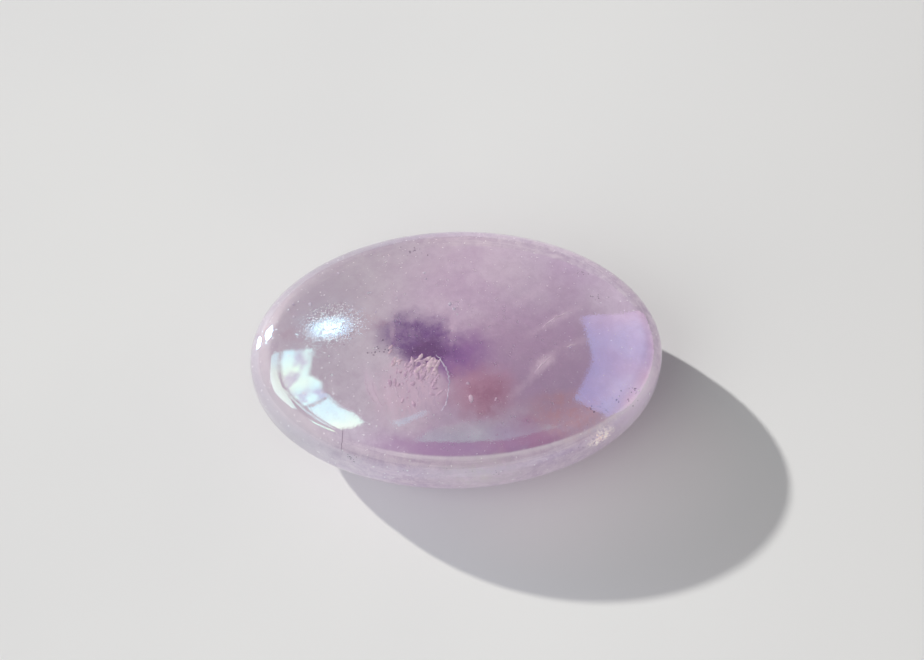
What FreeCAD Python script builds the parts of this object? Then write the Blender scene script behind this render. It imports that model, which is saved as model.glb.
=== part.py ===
"""Palm stone: an oval massage stone with two shallow domes and a rounded side, cut from one crystal.

It is built the way a lapidary cuts it. An oval preform is sawn from the crystal, both of its faces are
ground to domes, and the two ridges where the domes meet the side are rounded over. A little of the sawn
lower face is left at the middle of the under dome, and the stone rests on it.

The frame has +X along the length, +Y along the width and +Z up. The origin is the middle of the resting
flat.
"""
import FreeCAD, Part
import os

import Sketcher

DRIVING_DIMENSIONS = [
    # alias, millimetres (dome_spread is a ratio), what it sets
    ("stone_length", 65.0, "length of the oval"),
    ("stone_width", 42.5, "width of the oval"),
    ("stone_thickness", 19.6, "apex to apex, before the resting flat"),
    ("side_height", 8.4, "height of the side between its two ridges, before they are rounded"),
    ("dome_spread", 1.5, "width of the ellipsoid that a dome is cut to, over the width of the oval"),
    ("shoulder_radius", 5.0, "rounding of the ridge between a dome and the side"),
    ("flat_depth", 0.2, "how far the resting flat is above the lower apex that it replaces"),
]

# Sizes and heights that follow from the driving dimensions, as expressions on the sheet's cells.
# Each dome is part of an ellipsoid whose plan is the oval, enlarged by dome_spread. Its height is such
# that the dome falls from its apex to the ridge exactly at the oval.
PREFORM_HEIGHT = "Dimensions.stone_thickness - Dimensions.flat_depth"
DOME_RADIUS_X = "Dimensions.dome_spread * Dimensions.stone_length / 2"
DOME_RADIUS_Y = "Dimensions.dome_spread * Dimensions.stone_width / 2"
DOME_RISE = "(Dimensions.stone_thickness - Dimensions.side_height) / 2"
DOME_RADIUS_Z = f"{DOME_RISE} / (1 - sqrt(1 - 1 / Dimensions.dome_spread ^ 2))"
TOP_DOME_CENTRE = f"{PREFORM_HEIGHT} - {DOME_RADIUS_Z}"
UNDER_DOME_CENTRE = f"{DOME_RADIUS_Z} - Dimensions.flat_depth"

doc = FreeCAD.newDocument("PalmStone")


def make_sheet():
    """Write the driving dimensions to a spreadsheet, one row each."""
    sheet = doc.addObject("Spreadsheet::Sheet", "Dimensions")
    for row, (alias, value, meaning) in enumerate(DRIVING_DIMENSIONS, start=1):
        sheet.set(f"A{row}", meaning)
        sheet.set(f"B{row}", str(value))
        sheet.setAlias(f"B{row}", alias)
    doc.recompute()
    return sheet


def origin_plane(body, role):
    """Return one of the body's own origin planes."""
    for feature in body.Origin.OriginFeatures:
        if feature.Role == role:
            return feature
    raise ValueError(f"{body.Name} has no origin plane {role}")


def oval_sketch(body, sheet):
    """Draw the stone's oval on the body's XY plane, its two diameters bound to the sheet."""
    sketch = body.newObject("Sketcher::SketchObject", "Oval")
    sketch.AttachmentSupport = [(origin_plane(body, "XY_Plane"), "")]
    sketch.MapMode = "FlatFace"

    centre = FreeCAD.Vector(0, 0, 0)
    end_of_length = FreeCAD.Vector(sheet.stone_length / 2, 0, 0)
    end_of_width = FreeCAD.Vector(0, sheet.stone_width / 2, 0)
    oval = sketch.addGeometry(Part.Ellipse(end_of_length, end_of_width, centre), False)
    sketch.exposeInternalGeometry(oval)
    major_axis = oval + 1
    minor_axis = oval + 2

    middle_point = 3
    sketch_origin = (-1, 1)
    sketch.addConstraint(Sketcher.Constraint("Coincident", oval, middle_point, *sketch_origin))
    sketch.addConstraint(Sketcher.Constraint("Horizontal", major_axis))
    for name, axis, alias in (
        ("length", major_axis, "stone_length"),
        ("width", minor_axis, "stone_width"),
    ):
        size = getattr(sheet, alias)
        constraint = sketch.addConstraint(Sketcher.Constraint("Distance", axis, size))
        sketch.renameConstraint(constraint, name)
        sketch.setExpression(f"Constraints.{name}", f"Dimensions.{alias}")
    return sketch


def saw_preform(body, sheet):
    """Pad the oval up to the full height of the stone; its lower face is the resting face."""
    preform = body.newObject("PartDesign::Pad", "Preform")
    preform.Profile = oval_sketch(body, sheet)
    preform.setExpression("Length", PREFORM_HEIGHT)
    doc.recompute()


def dome_form(name, centre_height):
    """Make the ellipsoid that one face of the stone is ground to, as a body of its own."""
    form = doc.addObject("PartDesign::Body", name)
    ellipsoid = form.newObject("PartDesign::AdditiveEllipsoid", f"{name}Ellipsoid")
    ellipsoid.setExpression("Radius1", DOME_RADIUS_Z)
    ellipsoid.setExpression("Radius2", DOME_RADIUS_X)
    ellipsoid.setExpression("Radius3", DOME_RADIUS_Y)
    ellipsoid.setExpression("Placement.Base.z", centre_height)
    doc.recompute()
    return form


def grind_dome(body, form, name):
    """Keep only what lies inside the dome's ellipsoid."""
    ground = body.newObject("PartDesign::Boolean", name)
    ground.setObjects([form])
    ground.Type = "Common"
    doc.recompute()
    return ground


def round_ridges(body, ground, sheet):
    """Round the two level ridges that run all the way round, between the domes and the side."""
    ridges = []
    for number, edge in enumerate(ground.Shape.Edges, start=1):
        box = edge.BoundBox
        level = box.ZLength < sheet.flat_depth
        full_size = box.XLength > 0.9 * sheet.stone_length
        if level and full_size:
            ridges.append(f"Edge{number}")
    shoulders = body.newObject("PartDesign::Fillet", "Shoulders")
    shoulders.Base = (ground, ridges)
    shoulders.setExpression("Radius", "Dimensions.shoulder_radius")
    doc.recompute()


def make_palm_stone(sheet):
    """Build the stone as one body."""
    stone = doc.addObject("PartDesign::Body", "PalmStoneBody")
    stone.Label = "palm_stone"
    saw_preform(stone, sheet)
    top_form = dome_form("TopDomeForm", TOP_DOME_CENTRE)
    grind_dome(stone, top_form, "TopDome")
    under_form = dome_form("UnderDomeForm", UNDER_DOME_CENTRE)
    ground = grind_dome(stone, under_form, "UnderDome")
    round_ridges(stone, ground, sheet)
    stone.Placement = FreeCAD.Placement()
    doc.recompute()
    return stone


def check(parts):
    """Stop if any object failed to compute, or any sub-part isn't one valid solid."""
    for item in doc.Objects:
        if "Invalid" in item.State or "Error" in item.State:
            raise RuntimeError(f"{item.Name} failed: {item.State}")
    for part in parts:
        if part.Shape.isNull() or not part.Shape.isValid() or len(part.Shape.Solids) != 1:
            raise RuntimeError(f"{part.Label} isn't one valid solid")


def export(parts):
    """Write each sub-part to its own file, named after its label."""
    os.makedirs("parts", exist_ok=True)
    for part in parts:
        part.Shape.exportStep(f"parts/{part.Label}.step")


dimensions = make_sheet()
sub_parts = [make_palm_stone(dimensions)]
check(sub_parts)
export(sub_parts)
for sub_part in sub_parts:
    print(f"{sub_part.Label}: {sub_part.Shape.Volume:.1f} cubic mm")
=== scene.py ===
import math
from random import Random

import bpy
import numpy as np
from mathutils import Matrix, Vector, noise
from mathutils.bvhtree import BVHTree


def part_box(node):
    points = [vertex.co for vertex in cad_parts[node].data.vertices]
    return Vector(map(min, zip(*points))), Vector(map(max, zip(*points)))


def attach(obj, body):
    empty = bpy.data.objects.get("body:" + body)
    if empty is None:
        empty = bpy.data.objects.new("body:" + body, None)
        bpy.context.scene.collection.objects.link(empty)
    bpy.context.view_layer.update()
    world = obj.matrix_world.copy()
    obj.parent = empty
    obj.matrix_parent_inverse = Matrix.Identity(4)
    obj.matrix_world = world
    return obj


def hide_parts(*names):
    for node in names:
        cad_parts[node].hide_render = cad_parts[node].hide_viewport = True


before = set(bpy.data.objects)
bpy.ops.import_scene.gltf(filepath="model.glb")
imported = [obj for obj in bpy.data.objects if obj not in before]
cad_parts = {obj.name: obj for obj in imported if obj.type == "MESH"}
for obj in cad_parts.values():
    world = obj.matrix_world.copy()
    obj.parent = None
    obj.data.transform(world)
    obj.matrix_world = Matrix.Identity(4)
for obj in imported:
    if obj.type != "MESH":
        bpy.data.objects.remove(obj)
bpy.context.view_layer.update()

MM = 0.001
LOW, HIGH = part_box("palm_stone")

# ---------------------------------------------------------------- sizes of the stone, in millimetres
HALF_LENGTH = (HIGH.x - LOW.x) / 2 / MM
HALF_WIDTH = (HIGH.y - LOW.y) / 2 / MM
FLAT_DEPTH = 0.2
THICKNESS = (HIGH.z - LOW.z) / MM + FLAT_DEPTH
SIDE_HEIGHT = 8.4
DOME_SPREAD = 1.5
SHOULDER_RADIUS = 5.0
MIDDLE_HEIGHT = THICKNESS / 2 - FLAT_DEPTH

# The milky body sits under a clear outer layer.
CLEAR_DEPTH_SIDE = 0.6
CLEAR_DEPTH_DOME = 1.4

# The dome of the milky body meets its rim along this oval.
DOME_EDGE_CENTRE = (0.6, -0.9, 0.0)
DOME_EDGE_HALF_AXES = (30.0, 17.8)

# Hand polishing leaves slow waves this deep, long ones with shorter ones over them.
POLISH_WAVE = 0.03
LONG_WAVE, SHORT_WAVE, SHORT_WAVE_SHARE = 9.0, 4.0, 0.35

# ---------------------------------------------------------------- optics of the coating
QUARTZ_IOR = 1.55
FILM_IOR = 1.8
FILM_LEFT, FILM_RIGHT, FILM_DRIFT = 214.0, 166.0, 9.0    # thickness in nanometres
POLISHED_ROUGHNESS = 0.015

# ---------------------------------------------------------------- camera and lights
CAMERA_ELEVATION, CAMERA_AZIMUTH, CAMERA_ROLL = 65.0, -93.3, 1.14    # degrees
CAMERA_DISTANCE = 0.42    # metres
CAMERA_TARGET = (1.04, 4.28, 11.0)    # millimetres
CAMERA_LENS, CAMERA_SENSOR = 103.4, 36.0    # millimetres
ROOM_COLOUR, ROOM_STRENGTH = (0.97, 0.97, 1.0, 1), 0.275
# Name, energy, angular size, elevation, azimuth and tint; the first is the hard low sun.
SKY_LIGHTS = (("sun", 3.5, 1.6, 25.0, 140.0, (1.0, 0.985, 0.96)),
              ("window_light", 1.0, 60.0, 35.0, 205.0, (0.97, 0.985, 1.0)))
FLOOR_HALF_SIZE = 4000.0


# ---------------------------------------------------------------- mesh building
def dome_height(x, y, form):
    """Height of a dome above the middle plane, over the point (x, y)."""
    edge_drop = 1 - math.sqrt(1 - 1 / form["spread"] ** 2)
    radius_z = (form["thickness"] - form["side"]) / 2 / edge_drop
    centre = form["thickness"] / 2 - radius_z
    reach = (x / form["half_length"]) ** 2 + (y / form["half_width"]) ** 2
    return centre + radius_z * np.sqrt(1 - reach / form["spread"] ** 2)


def upper_half(form, columns, dome_rows, shoulder_rows, side_rows):
    """Rows of points from the apex of the top dome down to the middle of the side."""
    turn = np.linspace(0, 2 * math.pi, columns, endpoint=False)
    edge = np.stack([form["half_length"] * np.cos(turn), form["half_width"] * np.sin(turn)])
    outward = np.stack([np.cos(turn) / form["half_length"], np.sin(turn) / form["half_width"]])
    outward /= np.linalg.norm(outward, axis=0)
    radius = form["shoulder"]

    # The shoulder touches the dome at this distance inside the edge, found by iteration.
    inset = np.full(columns, radius / 2)
    step = 1e-4
    for _ in range(40):
        inner = edge - outward * (inset + step)
        outer = edge - outward * (inset - step)
        slope = np.arctan((dome_height(*inner, form) - dome_height(*outer, form)) / (2 * step))
        inset = (inset + radius * (1 - np.sin(slope))) / 2
    touch = edge - outward * inset
    touch_height = dome_height(*touch, form)
    shoulder_centre = touch_height - radius * np.cos(slope)

    rows = []
    for share in np.linspace(0, 1, dome_rows + 1)[1:]:
        point = touch * share
        rows.append([point[0], point[1], dome_height(*point, form)])
    for share in np.linspace(0, 1, shoulder_rows + 1)[1:]:
        angle = (math.pi / 2 - slope) * (1 - share)
        point = edge - outward * radius * (1 - np.cos(angle))
        rows.append([point[0], point[1], shoulder_centre + radius * np.sin(angle)])
    for share in np.linspace(0, 1, side_rows + 1)[1:]:
        rows.append([edge[0], edge[1], shoulder_centre * (1 - share)])
    return np.array(rows).transpose(0, 2, 1)


def pebble_points(form, columns=360, dome_rows=90, shoulder_rows=24, side_rows=4):
    """All the rows of a pebble, top to bottom, and its two apex points."""
    top = upper_half(form, columns, dome_rows, shoulder_rows, side_rows)
    under = top[:-1][::-1] * np.array([1, 1, -1])
    rows = np.concatenate([top, under])
    rows[:, :, 2] += MIDDLE_HEIGHT
    apexes = np.array([[0, 0, MIDDLE_HEIGHT + form["thickness"] / 2],
                       [0, 0, MIDDLE_HEIGHT - form["thickness"] / 2]])
    return rows, apexes


def mesh_object(name, points, faces, smooth=True):
    """Make a mesh object from points in millimetres."""
    mesh = bpy.data.meshes.new(name)
    mesh.from_pydata((np.asarray(points) * MM).tolist(), [], faces)
    mesh.polygons.foreach_set("use_smooth", [smooth] * len(mesh.polygons))
    mesh.update()
    thing = bpy.data.objects.new(name, mesh)
    bpy.context.scene.collection.objects.link(thing)
    return thing


def pebble_object(name, form, shape=None, **counts):
    """Make a closed pebble mesh; shape, if given, moves the points first."""
    rows, apexes = pebble_points(form, **counts)
    row_count, columns = rows.shape[:2]
    points = np.concatenate([rows.reshape(-1, 3), apexes])
    if shape:
        points = shape(points)
    top_apex = row_count * columns
    under_apex = top_apex + 1
    faces = []
    for column in range(columns):
        after = (column + 1) % columns
        faces.append((top_apex, column, after))
        last = (row_count - 1) * columns
        faces.append((under_apex, last + after, last + column))
        for row in range(row_count - 1):
            here, below = row * columns, (row + 1) * columns
            faces.append((here + column, below + column, below + after, here + after))
    return mesh_object(name, points, faces)


# ---------------------------------------------------------------- node helpers
def linear(red, green, blue):
    """Turn 0-255 display values into a linear colour."""
    def channel(value):
        value /= 255
        return value / 12.92 if value <= 0.04045 else ((value + 0.055) / 1.055) ** 2.4
    return (channel(red), channel(green), channel(blue), 1.0)


def add_node(tree, kind, inputs=None, **settings):
    """Add a node, set its settings, and fill its inputs with values or links."""
    node = tree.nodes.new(kind)
    for key, value in settings.items():
        setattr(node, key, value)
    for key, value in (inputs or {}).items():
        if isinstance(value, bpy.types.NodeSocket):
            tree.links.new(value, node.inputs[key])
        else:
            node.inputs[key].default_value = value
    return node


def new_material(name):
    """A material with one Principled shader."""
    material = bpy.data.materials.new(name)
    material.use_nodes = True
    shader = material.node_tree.nodes["Principled BSDF"]
    return material, material.node_tree, shader


def stone_place(tree):
    """Object coordinates in millimetres."""
    place = add_node(tree, "ShaderNodeTexCoord").outputs["Object"]
    return add_node(tree, "ShaderNodeVectorMath", {0: place, "Scale": 1 / MM},
                    operation="SCALE").outputs["Vector"]


def noise_value(tree, place, size, detail=2.0, roughness=0.5, distortion=0.0, output="Fac"):
    """Noise whose lumps are about size millimetres across."""
    return add_node(tree, "ShaderNodeTexNoise",
                    {"Vector": place, "Scale": 1 / size, "Detail": detail,
                     "Roughness": roughness, "Distortion": distortion}).outputs[output]


def remap(tree, value, low, high, to_low=0.0, to_high=1.0, smooth=True):
    """Map low..high to to_low..to_high, and hold it there outside."""
    return add_node(tree, "ShaderNodeMapRange",
                    {"Value": value, "From Min": low, "From Max": high,
                     "To Min": to_low, "To Max": to_high},
                    interpolation_type="SMOOTHSTEP" if smooth else "LINEAR").outputs["Result"]


def maths(tree, operation, first, second):
    """One Math node."""
    return add_node(tree, "ShaderNodeMath", {0: first, 1: second},
                    operation=operation).outputs["Value"]


def vector_maths(tree, operation, first, second):
    """One Vector Math node that gives a vector."""
    return add_node(tree, "ShaderNodeVectorMath", {0: first, 1: second},
                    operation=operation).outputs["Vector"]


def vector_length(tree, vector):
    """Length of a vector."""
    return add_node(tree, "ShaderNodeVectorMath", {0: vector}, operation="LENGTH").outputs["Value"]


def distance_along(tree, place, way):
    """How far a place lies along a direction, in millimetres if the direction has length one."""
    return add_node(tree, "ShaderNodeVectorMath", {0: place, 1: way},
                    operation="DOT_PRODUCT").outputs["Value"]


def mix_colour(tree, amount, base, over, blend="MIX"):
    """Lay one colour over another."""
    node = add_node(tree, "ShaderNodeMix", data_type="RGBA", blend_type=blend)
    for key, value in (("Factor_Float", amount), ("A_Color", base), ("B_Color", over)):
        socket = next(s for s in node.inputs if s.identifier == key)
        if isinstance(value, bpy.types.NodeSocket):
            tree.links.new(value, socket)
        else:
            socket.default_value = value
    return next(s for s in node.outputs if s.identifier == "Result_Color")


def blob(tree, place, centre, radii, inner=0.5, outer=1.0, turn=0.0):
    """A soft ellipsoidal patch: 1 inside, 0 outside, turned about Z by turn degrees."""
    shifted = vector_maths(tree, "SUBTRACT", place, centre)
    turned = add_node(tree, "ShaderNodeVectorRotate",
                      {"Vector": shifted, "Angle": math.radians(-turn)},
                      rotation_type="Z_AXIS").outputs["Vector"]
    distance = vector_length(tree, vector_maths(tree, "DIVIDE", turned, radii))
    return remap(tree, distance, inner, outer, 1.0, 0.0)


# ---------------------------------------------------------------- materials
def coated_surface_material():
    """Polished quartz under a thin rainbow film, with fine pits and a frosted patch."""
    material, tree, shader = new_material("coated_surface")
    place = stone_place(tree)
    shader.inputs["Base Color"].default_value = (1, 1, 1, 1)
    shader.inputs["Transmission Weight"].default_value = 1.0
    shader.inputs["IOR"].default_value = QUARTZ_IOR
    shader.inputs["Thin Film IOR"].default_value = FILM_IOR

    along = add_node(tree, "ShaderNodeSeparateXYZ", {0: place}).outputs["X"]
    film = remap(tree, along, -24.0, 26.0, FILM_LEFT, FILM_RIGHT, smooth=False)
    drift = remap(tree, noise_value(tree, place, 9.0, detail=2.0), 0.3, 0.7, -FILM_DRIFT, FILM_DRIFT)
    tree.links.new(maths(tree, "ADD", film, drift), shader.inputs["Thin Film Thickness"])

    speckle = remap(tree, noise_value(tree, place, 0.28, detail=3.0), 0.44, 0.6)
    frost = blob(tree, place, (-19.2, 3.2, 16.8), (10.5, 8.5, 10.0), 0.1, 1.0)
    frost = maths(tree, "ADD", maths(tree, "MULTIPLY", frost, 0.34), 0.02)
    rough = maths(tree, "MULTIPLY", speckle, frost)
    stray = remap(tree, noise_value(tree, place, 0.55, detail=2.0), 0.66, 0.72, POLISHED_ROUGHNESS, 0.3)
    tree.links.new(maths(tree, "ADD", rough, stray), shader.inputs["Roughness"])

    pits = noise_value(tree, place, 0.35, detail=3.0, roughness=0.7)
    bump = add_node(tree, "ShaderNodeBump", {"Height": pits, "Strength": 0.05, "Distance": 0.06 * MM})
    tree.links.new(bump.outputs["Normal"], shader.inputs["Normal"])
    return material


def paint(tree, place, colour, over, centre, radii, amount=1.0, inner=0.2, turn=0.0, break_up=None):
    """Lay a soft patch of colour over another, broken up by a noise if one is given.

    The patch is whole out to inner of its radii, and turned by turn degrees about Z.
    """
    share = blob(tree, place, centre, radii, inner, 1.0, turn)
    share = maths(tree, "MULTIPLY", share, amount)
    if break_up is not None:
        share = maths(tree, "MULTIPLY", share, break_up)
    return mix_colour(tree, share, colour, over)


def shake(tree, place, size, reach, detail=4.0):
    """Move places about at random by up to reach millimetres."""
    warp = noise_value(tree, place, size, detail=detail, roughness=0.65, output="Color")
    warp = vector_maths(tree, "SUBTRACT", warp, (0.5, 0.5, 0.5))
    warp = add_node(tree, "ShaderNodeVectorMath", {0: warp, "Scale": 2 * reach},
                    operation="SCALE").outputs["Vector"]
    return vector_maths(tree, "ADD", place, warp)


def milky_body_material():
    """Cloudy pale violet quartz with its colour zones, and painted light: highlights, a reflection, shade on
    the sunny side and a glow.
    """
    material, tree, shader = new_material("milky_body")
    place = stone_place(tree)
    shaken = shake(tree, place, 3.0, 2.6)
    wandering = shake(tree, place, 9.0, 5.0)
    stretched = vector_maths(tree, "MULTIPLY", place, (1.0, 0.3, 0.6))
    fibres = remap(tree, noise_value(tree, stretched, 0.6, detail=4.0, roughness=0.7), 0.35, 0.6)
    mottle = remap(tree, noise_value(tree, shake(tree, place, 4.0, 1.5), 1.5, detail=5.0, roughness=0.75),
                   0.3, 0.7)
    dust = remap(tree, noise_value(tree, place, 0.28, detail=2.0, roughness=0.6), 0.62, 0.74)
    # Specks that break up the painted glint low on the right.
    painted_glint_specks = remap(tree, noise_value(tree, place, 0.6, detail=4.0, roughness=0.7), 0.4, 0.6)

    # How far out a place is, from 0 at the middle to 1 at the side.
    ring = vector_maths(tree, "MULTIPLY", place, (1 / HALF_LENGTH, 1 / HALF_WIDTH, 0))
    ring = vector_length(tree, ring)

    # The ground colour: mauve right of the middle, broken up all over; towards the left it is paler and
    # greyer, a painted haze of light reflected there.
    cloud = noise_value(tree, place, 13.0, detail=5.0, roughness=0.6, distortion=0.4)
    colour = mix_colour(tree, remap(tree, cloud, 0.35, 0.65), linear(193, 169, 196), linear(206, 188, 208))
    along = add_node(tree, "ShaderNodeSeparateXYZ", {0: wandering}).outputs["X"]
    # Painted highlight: paler and greyer towards the left, a haze of reflected light.
    painted_left_haze = remap(tree, along, 2.0, -16.0, 0.0, 0.8)
    colour = mix_colour(tree, painted_left_haze, colour, linear(210, 201, 213))
    colour = paint(tree, wandering, colour, linear(168, 130, 168), (10.5, -5.0, 16.0),
                   (21.0, 13.0, 14.0), amount=0.75)
    # Painted shade: a darker patch at the back left, where the sun falls, holds that side down.
    colour = paint(tree, wandering, colour, linear(166, 150, 172), (-24.0, 7.5, 13.0),
                   (13.0, 12.0, 12.0), amount=0.45)
    # Painted highlight: a pale mottled patch left of the middle, the frosted halo round the lamp's glint.
    colour = paint(tree, wandering, colour, linear(214, 206, 214), (-14.5, 0.5, 16.5),
                   (8.5, 9.0, 9.0), amount=0.45, break_up=mottle)
    colour = mix_colour(tree, maths(tree, "MULTIPLY", mottle, 0.36), colour, linear(158, 130, 160))

    # The rim is paler than the middle, with fine arcs round it, and near-white towards the left, which is a
    # painted highlight; the dome's foot is more violet.
    colour = paint(tree, wandering, colour, linear(160, 118, 166), (2.0, -17.4, 14.0),
                   (25.0, 4.8, 6.0), amount=0.8)
    colour = paint(tree, wandering, colour, linear(170, 112, 150), (12.0, -16.0, 14.0),
                   (10.0, 3.6, 6.0), amount=0.6)
    long_axis, short_axis = DOME_EDGE_HALF_AXES    # edge is 1 where the dome meets the rim
    edge = vector_maths(tree, "SUBTRACT", place, DOME_EDGE_CENTRE)
    edge = vector_maths(tree, "MULTIPLY", edge, (1 / long_axis, 1 / short_axis, 0))
    edge = vector_length(tree, edge)
    rim_tone = mix_colour(tree, mottle, linear(212, 198, 210), linear(180, 160, 184))
    # Painted highlight: the rim turns near-white towards the left, light caught in the thin edge.
    painted_left_rim_light = remap(tree, along, -12.0, -30.0)
    rim_tone = mix_colour(tree, painted_left_rim_light, rim_tone, linear(234, 229, 236))
    arcs = add_node(tree, "ShaderNodeCombineXYZ",
                    {"X": maths(tree, "MULTIPLY", ring, 34.0),
                     "Y": maths(tree, "MULTIPLY", along, 0.05)}).outputs["Vector"]
    arcs = remap(tree, noise_value(tree, arcs, 1.0, detail=3.0, roughness=0.7), 0.5, 0.62)
    rim_tone = mix_colour(tree, maths(tree, "MULTIPLY", arcs, 0.4), rim_tone, linear(228, 220, 228))
    back_left = distance_along(tree, place, (-0.6, 0.8, 0.0))
    rim_share = maths(tree, "MULTIPLY", remap(tree, edge, 0.98, 1.0, 0.0, 0.8),
                      remap(tree, back_left, 8.0, 20.0, 1.0, 0.3))
    colour = mix_colour(tree, rim_share, colour, rim_tone)
    colour = paint(tree, shaken, colour, linear(226, 210, 228), (28.0, -9.5, 11.0), (7.5, 6.5, 8.0),
                   amount=0.75, turn=50.0, break_up=remap(tree, mottle, 0.0, 1.0, 0.5, 1.0))

    # A fine pale line marks where the dome meets the rim at the front.
    front = distance_along(tree, place, (0.3, -0.95, 0.0))
    line = maths(tree, "MULTIPLY", remap(tree, edge, 0.985, 1.0), remap(tree, edge, 1.0, 1.035, 1.0, 0.0))
    line = maths(tree, "MULTIPLY", line, remap(tree, front, 8.0, 15.0, 0.0, 0.55))
    colour = mix_colour(tree, line, colour, linear(228, 220, 228))

    # A grey-green patch low at the front, which is a painted reflection of something bright in front, and a
    # warm painted glint low at the right.
    # Painted reflection: a pale grey-green patch low on the front rim.
    colour = paint(tree, shaken, colour, linear(216, 212, 208), (3.0, -19.6, 11.0), (12.0, 2.6, 6.0),
                   amount=0.6, break_up=mottle)
    # Painted highlight: a warm glint low on the right rim, broken into specks.
    colour = paint(tree, shaken, colour, linear(255, 244, 240), (21.8, -15.0, 11.6), (3.6, 2.4, 2.2),
                   inner=0.0, turn=33.0, break_up=painted_glint_specks)

    # Veil, violet zone, red stains, an orange-brown patch low at the front right, pale streaks and a dusting
    # over all.
    veil_cut = remap(tree, fibres, 0.0, 1.0, 0.45, 1.0)
    colour = paint(tree, shaken, colour, linear(208, 182, 202), (-7.2, -8.6, 16.5), (8.0, 7.0, 7.0),
                   amount=0.85, inner=0.3, break_up=veil_cut)
    colour = paint(tree, wandering, colour, linear(130, 72, 144), (-0.6, -3.2, 16.5),
                   (9.0, 4.4, 8.0), amount=0.85)
    deep = remap(tree, mottle, 0.0, 1.0, 1.0, 0.7)
    colour = paint(tree, shaken, colour, linear(96, 22, 116), (-6.0, -0.3, 16.8), (9.0, 5.6, 7.0),
                   inner=0.35, turn=-14.0, break_up=deep)
    colour = paint(tree, shaken, colour, linear(90, 20, 100), (-4.6, -2.5, 16.8), (5.2, 2.8, 6.0),
                   amount=0.95, inner=0.3)
    colour = paint(tree, shaken, colour, linear(180, 126, 152), (3.4, -9.0, 16.2), (7.6, 6.0, 6.0),
                   amount=0.8)
    colour = paint(tree, shaken, colour, linear(152, 90, 122), (4.6, -9.6, 16.0), (4.2, 4.2, 5.0),
                   amount=0.7, break_up=remap(tree, mottle, 0.0, 1.0, 0.3, 1.0))
    colour = paint(tree, shaken, colour, linear(186, 132, 138), (16.0, -12.2, 14.4), (9.0, 4.4, 6.0),
                   amount=0.7, break_up=remap(tree, mottle, 0.0, 1.0, 1.0, 0.4))
    frayed = shake(tree, place, 1.0, 0.9)
    for centre, radii, turn, amount in STREAKS:
        colour = paint(tree, frayed, colour, linear(224, 200, 220), centre, radii,
                       amount=amount, inner=0.0, turn=turn, break_up=remap(tree, fibres, 0.0, 1.0, 1.0, 0.7))
    colour = mix_colour(tree, maths(tree, "MULTIPLY", dust, 0.3), colour, linear(226, 212, 224))

    # Painted shade: the colour darkens towards the side where the sun goes straight into the stone, holding
    # the sunlit side down.
    sunny = distance_along(tree, place, (-0.9, 0.43, 0.0))
    sun_side_painted_shade = mix_colour(tree, remap(tree, sunny, 0.0, 24.0), (0.87, 0.86, 0.875, 1), (0.52, 0.51, 0.53, 1))
    colour = mix_colour(tree, 1.0, colour, sun_side_painted_shade, "MULTIPLY")
    tree.links.new(colour, shader.inputs["Base Color"])
    tree.links.new(colour, shader.inputs["Emission Color"])

    # Painted glow: the body glows a little, most near the thin edge away from the sun, standing in for light
    # scattered about inside the stone.
    away = distance_along(tree, place, (0.4, -0.916, 0.0))
    away = remap(tree, away, -20.0, 6.0, 0.0, 1.0)
    edge_glow = maths(tree, "MULTIPLY", remap(tree, ring, 0.6, 0.97, 0.0, 0.30), away)
    middle_glow = maths(tree, "ADD", maths(tree, "MULTIPLY", away, 0.04), 0.02)
    tree.links.new(maths(tree, "ADD", edge_glow, middle_glow), shader.inputs["Emission Strength"])
    shader.inputs["Roughness"].default_value = 0.55
    shader.inputs["Subsurface Weight"].default_value = 0.15
    shader.inputs["Subsurface Radius"].default_value = (1.0, 0.85, 1.0)
    shader.inputs["Subsurface Scale"].default_value = 1.2 * MM
    return material


def inclusion_material(name, dull, bright, grain=0.5, glow=0.52):
    """Material of the small pieces inside the stone: mottled, half their brightness a painted glow, and
    never shiny.
    """
    material, tree, shader = new_material(name)
    place = stone_place(tree)
    tone = remap(tree, noise_value(tree, place, grain, detail=3.0), 0.35, 0.65)
    colour = mix_colour(tree, tone, dull, bright)
    dimmed = mix_colour(tree, 1.0, colour, (0.45, 0.45, 0.45, 1), "MULTIPLY")
    tree.links.new(dimmed, shader.inputs["Base Color"])
    tree.links.new(colour, shader.inputs["Emission Color"])
    # Painted glow: each piece glows in its own colour, so it looks evenly lit.
    shader.inputs["Emission Strength"].default_value = glow
    shader.inputs["Roughness"].default_value = 0.8
    shader.inputs["Specular IOR Level"].default_value = 0.0
    return material


def floor_material():
    """Plain pale table top, a little darker to the right, which is painted shade."""
    material, tree, shader = new_material("floor")
    place = stone_place(tree)
    mottle = remap(tree, noise_value(tree, place, 60.0, detail=2.0), 0.3, 0.7)
    colour = mix_colour(tree, mottle, (0.79, 0.79, 0.785, 1), (0.81, 0.81, 0.80, 1))
    # Painted shade: the table darkens towards the right.
    along = add_node(tree, "ShaderNodeSeparateXYZ", {0: place}).outputs["X"]
    colour = mix_colour(tree, remap(tree, along, 0.0, 120.0, 0.0, 1.0), colour, (0.735, 0.73, 0.72, 1))
    tree.links.new(colour, shader.inputs["Base Color"])
    shader.inputs["Roughness"].default_value = 0.9
    shader.inputs["Specular IOR Level"].default_value = 0.0
    return material


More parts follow.
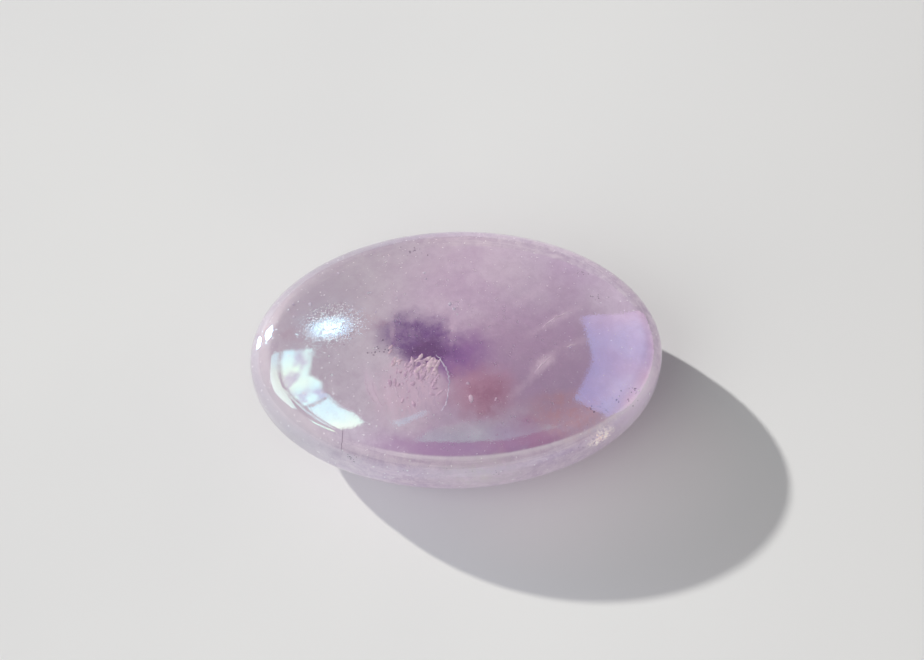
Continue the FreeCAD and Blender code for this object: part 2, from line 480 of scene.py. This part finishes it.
# ---------------------------------------------------------------- where things lie inside the stone
# BODY_SURFACE, used here, is made near the end of the script, once the milky body is there.
# Streaks of pale wisps: centre, radii, turn in degrees, strength.
STREAKS = (((13.2, -4.8, 16.2), (4.4, 1.6, 9.0), 44.0, 0.9),
           ((9.6, -8.6, 16.0), (4.6, 1.0, 9.0), 40.0, 0.3),
           ((15.6, 2.6, 16.0), (7.5, 1.2, 9.0), 33.0, 0.5),
           ((18.2, -1.4, 15.8), (3.6, 1.2, 9.0), 20.0, 0.35),
           ((12.0, 7.0, 15.8), (6.0, 1.2, 9.0), 35.0, 0.2),
           ((-13.2, -8.2, 15.8), (1.3, 6.0, 9.0), 20.0, 0.6),
           ((-10.8, -9.4, 15.8), (1.1, 5.0, 9.0), 14.0, 0.6),
           ((-0.6, 1.0, 16.6), (0.9, 4.6, 9.0), -6.0, 0.45),
           ((-9.9, 1.0, 16.6), (0.8, 3.4, 9.0), 4.0, 0.4))


def outer_form():
    """Sizes of the stone itself."""
    return {"half_length": HALF_LENGTH, "half_width": HALF_WIDTH, "thickness": THICKNESS,
            "side": SIDE_HEIGHT, "spread": DOME_SPREAD, "shoulder": SHOULDER_RADIUS}


def inner_form():
    """Sizes of the milky body."""
    side, dome = CLEAR_DEPTH_SIDE, CLEAR_DEPTH_DOME
    return {"half_length": HALF_LENGTH - side, "half_width": HALF_WIDTH - side,
            "thickness": THICKNESS - 2 * dome, "side": SIDE_HEIGHT - 2 * side,
            "spread": DOME_SPREAD, "shoulder": SHOULDER_RADIUS - side}


def surface_finder(body):
    """A search tree of the milky body's surface, in millimetres."""
    points = [corner.co / MM for corner in body.data.vertices]
    return BVHTree.FromPolygons(points, [tuple(face.vertices) for face in body.data.polygons])


def in_clear_layer(x, y, lift):
    """A point lift millimetres above the milky body, in the clear layer over it."""
    spot, normal, _, _ = BODY_SURFACE.ray_cast(Vector((x, y, 2 * THICKNESS)), Vector((0, 0, -1)))
    return spot + normal * lift


def on_the_side(angle, z, lift=0.1):
    """A point just off the side of the milky body, at an angle round it in degrees and a height."""
    turn = math.radians(angle)
    start = Vector((2 * HALF_LENGTH * math.cos(turn), 2 * HALF_WIDTH * math.sin(turn), z))
    spot, normal, _, _ = BODY_SURFACE.ray_cast(start, Vector((-start.x, -start.y, 0)).normalized())
    return spot + normal * lift


# ---------------------------------------------------------------- small pieces inside the stone
def grain_mesh(random, centre, size, stretch=(1.0, 0.8, 0.15), lean=None):
    """An irregular crystal grain: points and faces."""
    corners = [(1, 0, 0), (0, 1, 0), (-1, 0, 0), (0, -1, 0), (0, 0, 1), (0, 0, -1)]
    faces = [(0, 1, 4), (1, 2, 4), (2, 3, 4), (3, 0, 4), (1, 0, 5), (2, 1, 5), (3, 2, 5), (0, 3, 5)]
    points = [Vector(corner) for corner in corners]
    middles = {}
    finer = []
    for face in faces:
        mid = []
        for first, second in ((0, 1), (1, 2), (2, 0)):
            key = tuple(sorted((face[first], face[second])))
            if key not in middles:
                middles[key] = len(points)
                points.append(((points[key[0]] + points[key[1]]) / 2).normalized())
            mid.append(middles[key])
        finer += [(face[0], mid[0], mid[2]), (face[1], mid[1], mid[0]),
                  (face[2], mid[2], mid[1]), tuple(mid)]
    angle = random.uniform(0, 2 * math.pi) if lean is None else math.radians(random.gauss(lean, 16))
    turn = Matrix.Rotation(angle, 3, "Z")
    placed = []
    for point in points:
        point = point * size * random.uniform(0.65, 1.2)
        placed.append(centre + turn @ Vector(a * b for a, b in zip(point, stretch)))
    return placed, finer


def wisp_mesh(random, path, width, height, sides=6, ragged=0.35):
    """A flat ragged wisp along a path, with pointed ends: points and faces."""
    points, faces = [path[0]], []
    rings = len(path) - 2
    for index in range(1, len(path) - 1):
        ahead = (path[index + 1] - path[index - 1]).normalized()
        across = ahead.cross(Vector((0, 0, 1))).normalized()
        upward = across.cross(ahead)
        share = math.sin(math.pi * index / (len(path) - 1)) ** 0.5
        for side in range(sides):
            angle = 2 * math.pi * side / sides
            reach = share * (1 + ragged * random.uniform(-1, 1))
            points.append(path[index] + across * (math.cos(angle) * width / 2 * reach)
                          + upward * (math.sin(angle) * height / 2 * reach))
    points.append(path[-1])
    last = len(points) - 1
    for side in range(sides):
        after = (side + 1) % sides
        faces.append((0, 1 + after, 1 + side))
        end = 1 + (rings - 1) * sides
        faces.append((last, end + side, end + after))
        for ring in range(rings - 1):
            here, next_ring = 1 + ring * sides, 1 + (ring + 1) * sides
            faces.append((here + side, here + after, next_ring + after, next_ring + side))
    return points, faces


def joined_object(name, meshes, material):
    """One object from several lumps of points and faces; it rides with the stone."""
    points, faces = [], []
    for lump_points, lump_faces in meshes:
        start = len(points)
        points += [tuple(point) for point in lump_points]
        faces += [tuple(start + corner for corner in face) for face in lump_faces]
    thing = mesh_object(name, points, faces)
    thing.data.materials.append(material)
    thing.visible_shadow = False
    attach(thing, "root")


def curved_path(random, start, end, bow, steps, lift, wander):
    """Points in the clear layer from start to end, bowed to one side and wandering about that line."""
    start, end = Vector(start), Vector(end)
    side = Vector((-(end - start).y, (end - start).x)).normalized()
    path = []
    for step in range(steps + 1):
        share = step / steps
        point = start.lerp(end, share) + side * (bow * math.sin(math.pi * share))
        point += side * random.uniform(-wander, wander)
        path.append(in_clear_layer(point.x, point.y, lift))
    return path


def make_inclusions():
    """The small flaws grown into the crystal, each kind one object."""
    random = Random(7)
    white = inclusion_material("white_inclusion", linear(172, 158, 184), linear(208, 200, 218))
    pink = inclusion_material("veil_inclusion", linear(178, 150, 176), linear(202, 176, 196), 0.8)
    bright_pink = inclusion_material("shard_inclusion", linear(186, 158, 180), linear(216, 194, 206), 0.6)
    dark = inclusion_material("dark_inclusion", linear(112, 92, 118), linear(136, 116, 138), glow=0.35)
    pale = inclusion_material("pale_inclusion", linear(184, 162, 184), linear(206, 188, 206), 0.9)
    # Painted highlight: the sparkle material glows warm white, for glints of the sun.
    sparkle = inclusion_material("sparkle", linear(232, 206, 200), linear(250, 240, 236), glow=0.7)
    crack = inclusion_material("crack_inclusion", linear(138, 118, 142), linear(156, 136, 158))

    # Crystal shards of the veil, thickest along its ragged top edge under the violet zone.
    shards = []
    for _ in range(75):
        x = random.gauss(-6.4, 2.7)
        y = -3.9 - abs(random.gauss(0, 2.6)) - 0.25 * abs(x + 6.0)
        if not -12.0 < x < -2.4:
            continue
        size = random.uniform(0.1, 0.6)
        stretch = (random.uniform(0.35, 0.8), random.uniform(0.9, 1.9), 0.12)
        lift = random.uniform(0.0, 0.15)
        lean = random.choice((-35, -12, 10, 60))
        shards.append(grain_mesh(random, in_clear_layer(x, y, lift), size, stretch, lean))
    joined_object("veil_shards", shards, pink)
    bright = []
    for x, y, size in ((-5.8, -4.6, 0.8), (-6.3, -5.6, 0.7), (-4.7, -4.2, 0.7), (-3.9, -4.0, 0.8),
                       (-3.4, -5.0, 0.7), (-10.2, -2.6, 0.5), (-9.6, -3.2, 0.5), (-5.1, -5.8, 0.5),
                       (-4.2, -5.6, 0.6), (-8.6, -4.0, 0.4)):
        for _ in range(2):
            centre = in_clear_layer(x + random.gauss(0, 0.4), y + random.gauss(0, 0.5), 0.15)
            lean = random.choice((-50, -35, -20))
            bright.append(grain_mesh(random, centre, size * random.uniform(0.7, 1.3),
                                     (0.5, 1.2, 0.12), lean))
    joined_object("bright_shards", bright, bright_pink)

    # The bright edge of a healed crack, and the faint fans beside it.
    upper_path = curved_path(random, (-3.3, -3.2), (-1.7, -9.4), 0.9, 26, 0.4, 0.14)
    upper_edge = wisp_mesh(random, upper_path, 0.26, 0.12)
    lower_path = curved_path(random, (-1.7, -8.6), (-3.0, -12.2), 0.5, 16, 0.3, 0.14)
    lower_edge = wisp_mesh(random, lower_path, 0.18, 0.1)
    joined_object("crack_edge", [upper_edge, lower_edge], white)
    fans = []
    for start, end, bow in (((-14.2, -5.2), (-12.6, -10.4), -0.7), ((-13.2, -6.6), (-11.6, -10.8), -0.5),
                            ((-7.6, -6.6), (-6.6, -11.6), 0.8), ((-9.4, -5.8), (-8.8, -10.6), -0.6)):
        fans.append(wisp_mesh(random, curved_path(random, start, end, bow, 16, 0.05, 0.12), 0.14, 0.06))
    for start, end, bow in (((11.6, -6.4), (14.6, -3.6), 0.15), ((13.2, 1.0), (17.6, 3.9), 0.3),
                            ((16.8, -2.2), (18.4, -1.6), 0.1)):
        fans.append(wisp_mesh(random, curved_path(random, start, end, bow, 14, 0.05, 0.08), 0.2, 0.06))
    joined_object("faint_wisps", fans, pale)

    # Pale bubbles in the red zone.
    bubble = [grain_mesh(random, in_clear_layer(1.8, -10.2, 0.05), 0.75, (0.6, 1.2, 0.12), 0),
              grain_mesh(random, in_clear_layer(1.4, -7.9, 0.1), 0.3, (1.0, 1.0, 0.2)),
              grain_mesh(random, in_clear_layer(5.6, -10.4, 0.05), 0.3, (0.6, 1.2, 0.2), 0)]
    joined_object("red_zone_bubble", bubble, pink)

    # White flecks, a few large and many small.
    flecks = []
    for x, y, size in ((-0.9, 5.2, 0.4), (-0.3, 4.4, 0.36), (0.2, 3.4, 0.2), (-4.7, 11.3, 0.26),
                       (-4.4, 10.1, 0.2), (-18.1, 12.6, 0.26), (-22.6, 7.3, 0.3), (-25.2, 7.7, 0.26),
                       (-25.2, 5.4, 0.26), (-12.4, 4.6, 0.2), (-8.8, -11.6, 0.22), (-9.2, 7.0, 0.16)):
        flecks.append(grain_mesh(random, in_clear_layer(x, y, 0.3), size))
    joined_object("white_flecks", flecks, white)
    dust = []
    for _ in range(85):
        angle, share = random.uniform(0, 2 * math.pi), math.sqrt(random.uniform(0, 1))
        x, y = 27 * share * math.cos(angle), 16.5 * share * math.sin(angle)
        centre = in_clear_layer(x, y, random.uniform(0, 0.8))
        dust.append(grain_mesh(random, centre, random.uniform(0.03, 0.11)))
    joined_object("pale_dust", dust, pink)

    # Dark specks: smudges at the back, cracks low on the right, and a few strays.
    # Each group has a place, a spread, a count and a size.
    specks = []
    for x, y, spread, count, size in ((-6.2, 15.9, 0.9, 14, 0.13), (22.1, 7.0, 0.7, 8, 0.1),
                                      (20.2, 11.1, 0.6, 8, 0.09), (21.4, -11.5, 0.9, 10, 0.12),
                                      (25.5, -9.7, 1.2, 14, 0.13), (27.3, -8.2, 0.6, 10, 0.11),
                                      (-12.4, -2.2, 1.0, 14, 0.12), (-21.0, -9.0, 1.6, 12, 0.1),
                                      (-16.6, 0.6, 1.6, 16, 0.09), (2.0, -9.0, 14.0, 40, 0.06)):
        for _ in range(count):
            a = x + random.gauss(0, spread)
            b = y + random.gauss(0, spread * 0.6)
            if (a / HALF_LENGTH) ** 2 + (b / HALF_WIDTH) ** 2 < 0.93:
                centre = in_clear_layer(a, b, 0.5)
                specks.append(grain_mesh(random, centre, size * random.uniform(0.5, 1.3)))
    for angle, z, spread, count, size in ((-122.0, 12.2, 1.6, 12, 0.15), (-79.5, 11.7, 0.8, 9, 0.13),
                                          (-100.0, 12.6, 6.0, 8, 0.1), (-60.0, 12.0, 8.0, 8, 0.1)):
        for _ in range(count):
            centre = on_the_side(angle + random.gauss(0, spread), z + random.gauss(0, 0.3), 0.0)
            specks.append(grain_mesh(random, centre, size * random.uniform(0.5, 1.2), (0.6, 0.6, 0.5)))
    joined_object("dark_specks", specks, dark)

    # Warm sparkles low on the right, glowing grains that are painted glints of the sun, and one hair crack
    # low on the left.
    sparkles = []
    for _ in range(34):
        centre = on_the_side(random.gauss(-46.5, 1.5), random.gauss(11.6, 0.5))
        sparkles.append(grain_mesh(random, centre, random.uniform(0.06, 0.22), (1.0, 0.7, 0.7)))
    joined_object("warm_sparkles", sparkles, sparkle)
    path = curved_path(random, (-18.0, -13.2), (-18.3, -16.2), 0.1, 12, 0.2, 0.05)
    joined_object("hair_crack", [wisp_mesh(random, path, 0.12, 0.05)], crack)


# ---------------------------------------------------------------- pieces
def hand_polished(points):
    """Stop the under dome at the resting flat, and give the surface slow, shallow waves."""
    middle = np.array([0, 0, MIDDLE_HEIGHT])
    for index, point in enumerate(points):
        wave = noise.noise(Vector(point) / LONG_WAVE) * 0.5 + 0.5
        short = noise.noise(Vector(point) / SHORT_WAVE + Vector((40, 0, 0))) * 0.5 + 0.5
        wave += SHORT_WAVE_SHARE * short
        inward = middle - point
        points[index] = point + inward / np.linalg.norm(inward) * POLISH_WAVE * wave
    points[:, 2] = np.maximum(points[:, 2], 0)
    return points


def make_surface():
    """The clear polished skin, which replaces the CAD stone in the picture."""
    surface = pebble_object("coated_surface", outer_form(), hand_polished)
    surface.data.materials.append(coated_surface_material())
    surface.visible_shadow = False
    surface.visible_diffuse = False
    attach(surface, "root")
    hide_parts("palm_stone")


def make_body():
    """The milky body under the skin."""
    body = pebble_object("milky_body", inner_form(), columns=240, dome_rows=60)
    body.data.materials.append(milky_body_material())
    body.visible_shadow = False
    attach(body, "root")
    return body


# ---------------------------------------------------------------- stage
def direction(elevation, azimuth):
    """Unit vector towards a point in the sky, angles in degrees from the XY plane and from +X."""
    up, round_z = math.radians(elevation), math.radians(azimuth)
    return Vector((math.cos(up) * math.cos(round_z), math.cos(up) * math.sin(round_z), math.sin(up)))


def glow_material(name, colour, strength, second=None, across=None, patches=None, fade=None):
    """A glow of one colour, or of two, or one that fades outwards.

    across is a direction and where the change to the second colour starts and ends along it,
    patches is the size of patches of the second colour, and fade is a centre and two directions,
    each one over the half axis of the oval at whose edge the glow ends. All in millimetres.
    """
    material = bpy.data.materials.new(name)
    material.use_nodes = True
    tree = material.node_tree
    tree.nodes.clear()
    place = stone_place(tree)
    if across is not None:
        way, low, high = across
        share = remap(tree, distance_along(tree, place, way), low, high)
        colour = mix_colour(tree, share, colour, second)
    if patches is not None:
        tall = vector_maths(tree, "MULTIPLY", place, (1.0, 0.4, 1.0))
        cloud = noise_value(tree, tall, patches, detail=3.0)
        colour = mix_colour(tree, remap(tree, cloud, 0.5, 0.58), colour, second)
    if fade is not None:
        centre, long_way, short_way = fade
        off = vector_maths(tree, "SUBTRACT", shake(tree, place, 12.0, 22.0), centre)
        parts = [distance_along(tree, off, way) for way in (long_way, short_way)]
        squares = [maths(tree, "MULTIPLY", part, part) for part in parts]
        reach = maths(tree, "SQRT", maths(tree, "ADD", squares[0], squares[1]), 0.0)
        strength = remap(tree, reach, 0.0, 1.0, strength, 0.0)
    glow = add_node(tree, "ShaderNodeEmission", {"Color": colour, "Strength": strength})
    output = add_node(tree, "ShaderNodeOutputMaterial")
    tree.links.new(glow.outputs[0], output.inputs["Surface"])
    return material


def panel(name, elevation, azimuth, distance, corners, material, base=(0, 0, 0)):
    """A flat lit panel that faces the stone, seen in mirrors only.

    Its middle lies distance millimetres from base, and its corners are millimetres across and up.
    """
    towards = direction(elevation, azimuth)
    across = Vector((0, 0, 1)).cross(towards).normalized()
    upward = towards.cross(across)
    centre = Vector(base) + towards * distance
    points = [centre + across * u + upward * v for u, v in corners]
    sheet = mesh_object(name, points, [tuple(range(len(points)))], smooth=False)
    sheet.data.materials.append(material)
    sheet.visible_camera = False
    sheet.visible_shadow = False
    sheet.visible_diffuse = False


def make_light_filter():
    """What the stone does to light on its way to the table, seen by shadow rays alone.

    Most passes near the front left, and a little warm light low at the front right.
    """
    material = bpy.data.materials.new("light_filter")
    material.use_nodes = True
    tree = material.node_tree
    tree.nodes.clear()
    place = stone_place(tree)
    front_left = distance_along(tree, place, (-0.621, -0.784, 0.0))
    passed = remap(tree, front_left, -26.0, 24.0, 0.0, 1.0, smooth=False)
    colour = mix_colour(tree, passed, (0.07, 0.015, 0.0, 1), (0.48, 0.48, 0.54, 1))
    low = add_node(tree, "ShaderNodeSeparateXYZ", {0: place}).outputs["Z"]
    front_right = distance_along(tree, place, (0.5, -0.866, 0.0))
    low = maths(tree, "MULTIPLY", remap(tree, low, 1.5, 11.0, 0.9, 0.0), remap(tree, front_right, 8.0, 20.0))
    colour = mix_colour(tree, low, colour, (0.80, 0.66, 0.68, 1))
    clear = add_node(tree, "ShaderNodeBsdfTransparent", {"Color": colour})
    output = add_node(tree, "ShaderNodeOutputMaterial")
    tree.links.new(clear.outputs[0], output.inputs["Surface"])

    blocker = pebble_object("light_filter", inner_form(), columns=120, dome_rows=30)
    blocker.data.materials.append(material)
    for ray in ("camera", "diffuse", "glossy", "transmission", "volume_scatter"):
        setattr(blocker, "visible_" + ray, False)


def make_floor():
    """The table top."""
    size = FLOOR_HALF_SIZE
    corners = [(-size, -size, 0), (size, -size, 0), (size, size, 0), (-size, size, 0)]
    floor = mesh_object("floor", corners, [(0, 1, 2, 3)], smooth=False)
    floor.data.materials.append(floor_material())


def make_window():
    """A window mirrored in the left of the stone: panes split by thin bars, trees behind them."""
    elevation, azimuth, distance = 50, 165, 400
    daylight = (1.0, 0.93, 0.88, 1)
    shade = (0.46, 0.36, 0.50, 1)
    clear = glow_material("window_clear", daylight, 5.3)
    leafy = glow_material("window_leafy", daylight, 5.6, shade, patches=24.0)
    dim = glow_material("window_dim", daylight, 3.6)
    warm = glow_material("window_warm", (1.0, 0.97, 0.72, 1), 4.2)
    panes = (("upper", leafy, [(-85, -10), (-95, 45), (-10, 60), (10, 85), (40, 90), (55, 110), (95, 65),
                               (60, 40), (30, 20), (-50, -5)]),
             ("lower", clear, [(100, 70), (60, 110), (95, 135), (115, 160), (150, 185), (170, 160),
                               (175, 135), (155, 110)]),
             ("outer", dim, [(-80, -25), (-80, -15), (-10, 0), (50, 5), (95, 5), (165, -5), (210, -65),
                             (190, -140), (155, -190), (85, -165), (-20, -60)]),
             ("sill", dim, [(45, 20), (100, 55), (165, 105), (185, 125), (195, 115), (175, 85), (105, 35),
                            (45, 5)]),
             ("corner", warm, [(230, 10), (225, 110), (280, 85), (265, 5)]))
    for name, material, corners in panes:
        panel(f"window_{name}", elevation, azimuth, distance, corners, material)


def make_cards():
    """The other bright things mirrored in the stone: a wall, two cards, a lamp and the sun."""
    wall = glow_material("wall_glow", (1.2, 0.84, 0.92, 1), 1.9, (0.85, 1.0, 1.2, 1),
                         ((0.0, 0.0, 1.0), 150.0, 400.0))
    panel("right_wall", 45, 15, 400,
          [(160, 70), (175, 60), (170, -5), (240, -300), (260, -380), (-400, -380), (-445, -305),
           (-380, -55), (-95, 160), (25, 100)], wall)
    card = glow_material("card_glow", (0.85, 1.0, 0.62, 1), 1.5, (0.30, 0.34, 0.26, 1),
                         (tuple(direction(20, 92)), -52.0, 62.0))
    panel("front_card", 70, -88, 600,
          [(-95, -40), (-20, -50), (90, -60), (185, -30), (235, -10), (95, 55), (45, 50), (-60, 20)], card)
    panel("small_card", 70, -88, 600, [(-140, 60), (-65, 115), (-60, 95), (-130, 35)],
          glow_material("small_card_glow", (0.7, 1.0, 0.95, 1), 1.3))

    # The lamp fades outwards over a tilted oval with these half axes, in millimetres.
    long_axis, short_axis = 73.0, 60.0
    elevation, azimuth, distance = 50.7, 127, 600
    centre = direction(elevation, azimuth)
    across = Vector((0, 0, 1)).cross(centre).normalized()
    upward = centre.cross(across)
    long_way = (across * 0.5 + upward * 0.866) / long_axis
    short_way = (across * 0.866 - upward * 0.5) / short_axis
    soft_lamp = glow_material("soft_lamp_glow", (1.0, 0.71, 0.69, 1), 26.0,
                              fade=(tuple(centre * distance), tuple(long_way), tuple(short_way)))
    panel("lamp", elevation, azimuth, distance, [(90, -90), (90, 90), (-90, 90), (-90, -90)], soft_lamp)
    lamp = glow_material("lamp_glow", (1, 1, 1, 1), 30.0)
    panel("sun_glint", 25.5, 142, 500,
          [(35, 20), (0, 95), (-35, 80), (-35, -20), (0, -95), (35, -80)], lamp)
    panel("rim_glint", -9.5, 147, 50, [(5, 2), (3, 12), (-2, 10), (-5, -2), (-3, -12), (2, -10)], lamp,
          base=(-31.0, 1.6, 13.6))


def make_lights():
    """The room's even light, the sun, the soft light from a window, and what the stone mirrors."""
    world = bpy.data.worlds.new("room")
    bpy.context.scene.world = world
    world.use_nodes = True
    background = world.node_tree.nodes["Background"]
    background.inputs["Color"].default_value = ROOM_COLOUR
    background.inputs["Strength"].default_value = ROOM_STRENGTH
    for name, energy, spread, elevation, azimuth, tint in SKY_LIGHTS:
        light = bpy.data.lights.new(name, "SUN")
        light.energy = energy
        light.angle = math.radians(spread)
        light.color = tint
        lamp = bpy.data.objects.new(name, light)
        lamp.rotation_euler = direction(elevation, azimuth).to_track_quat("Z", "Y").to_euler()
        lamp.visible_glossy = name == "sun"
        bpy.context.scene.collection.objects.link(lamp)
    make_window()
    make_cards()


def make_camera():
    """Look down at the stone from the front, as a hand-held camera would."""
    camera = bpy.data.cameras.new("camera")
    camera.lens = CAMERA_LENS
    camera.sensor_width = CAMERA_SENSOR
    camera.clip_start = 0.01
    view = bpy.data.objects.new("camera", camera)
    backward = direction(CAMERA_ELEVATION, CAMERA_AZIMUTH)
    view.rotation_euler = (backward.to_track_quat("Z", "Y").to_matrix()
                           @ Matrix.Rotation(math.radians(CAMERA_ROLL), 3, "Z")).to_euler()
    view.location = Vector(CAMERA_TARGET) * MM + backward * CAMERA_DISTANCE
    bpy.context.scene.collection.objects.link(view)
    bpy.context.scene.camera = view


def set_up_render():
    """Plain view transform, and no caustics."""
    scene = bpy.context.scene
    scene.view_settings.view_transform = "Standard"
    scene.cycles.caustics_refractive = False
    scene.cycles.caustics_reflective = False


make_floor()
make_light_filter()
make_surface()
BODY_SURFACE = surface_finder(make_body())
make_inclusions()
make_lights()
make_camera()
set_up_render()
